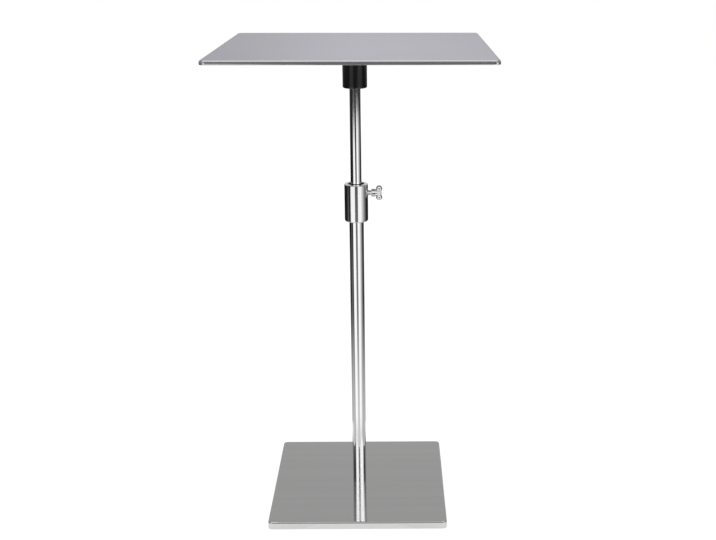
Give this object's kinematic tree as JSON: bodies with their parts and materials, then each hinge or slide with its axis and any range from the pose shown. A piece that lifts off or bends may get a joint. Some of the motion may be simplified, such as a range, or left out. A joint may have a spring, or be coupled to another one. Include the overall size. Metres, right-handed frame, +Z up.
{
  "type": "telescoping pedestal table",
  "caption": "Square sheet-metal table top on a telescoping tube column, clamped at any height by a collar with a thumb screw, standing on a weighted square base.",
  "frame": {"origin": "on the floor under the middle of the column, at the centre of the base's footprint", "axes": "+Z up along the column, +X along the thumb screw away from the collar, the picture's camera on the -Y side"},
  "size_m": [0.284, 0.284, 0.5222],
  "materials": {
    "brushed_top": "brushed stainless sheet, fine straight grain",
    "brushed_base": "brushed stainless sheet, half gloss",
    "polished_tube": "polished stainless tube",
    "polished_collar": "polished turned steel",
    "chromed_screw": "chromed cast head on a threaded shank",
    "zinc_steel": "zinc-plated steel",
    "black_steel": "black-painted steel plate",
    "black_socket": "half-gloss black moulding",
    "black_nylon": "matt black nylon",
    "white_nylon": "natural white nylon",
    "shoe_brass": "turned brass",
    "foot_rubber": "matt black stick-on rubber"
  },
  "bodies": {
    "stand": {"base_shell": "brushed_base", "ballast_plate": "black_steel", "foot_front_left": "foot_rubber", "foot_front_right": "foot_rubber", "foot_back_left": "foot_rubber", "foot_back_right": "foot_rubber", "column_bolt": "zinc_steel", "foot_plug": "zinc_steel", "lower_tube": "polished_tube", "clamp_collar": "polished_collar", "collar_grub": "zinc_steel", "collar_bush": "black_nylon"},
    "guide": {"guide_ring": "white_nylon"},
    "mast": {"upper_tube": "polished_tube", "guide_plug": "white_nylon", "tube_nut": "zinc_steel", "top_socket": "black_socket", "top_stud": "zinc_steel", "mounting_plate": "zinc_steel", "table_top": "brushed_top"},
    "shoe": {"clamp_shoe": "shoe_brass"},
    "screw": {"thumb_screw": "chromed_screw"}
  },
  "joints": [
    {"name": "height_slide", "type": "slide", "parent": "stand", "child": "guide", "axis": [0, 0, 1], "range_m": [-0.104, 0.1145]},
    {"name": "top_swivel", "type": "hinge", "parent": "guide", "child": "mast", "pos_m": [0, 0, 0.231], "axis": [0, 0, 1], "continuous": true},
    {"name": "shoe_slide", "type": "slide", "parent": "stand", "child": "shoe", "axis": [1, 0, 0], "range_m": [0, 0.002]},
    {"name": "screw_turn", "type": "hinge", "parent": "shoe", "child": "screw", "pos_m": [0.0077, 0, 0.3617], "axis": [1, 0, 0], "range_deg": [0, 720]}
  ],
  "couplings": [
    {"joint": "shoe_slide", "follows": "screw_turn", "m_per_rad": 0.00015915}
  ]
}
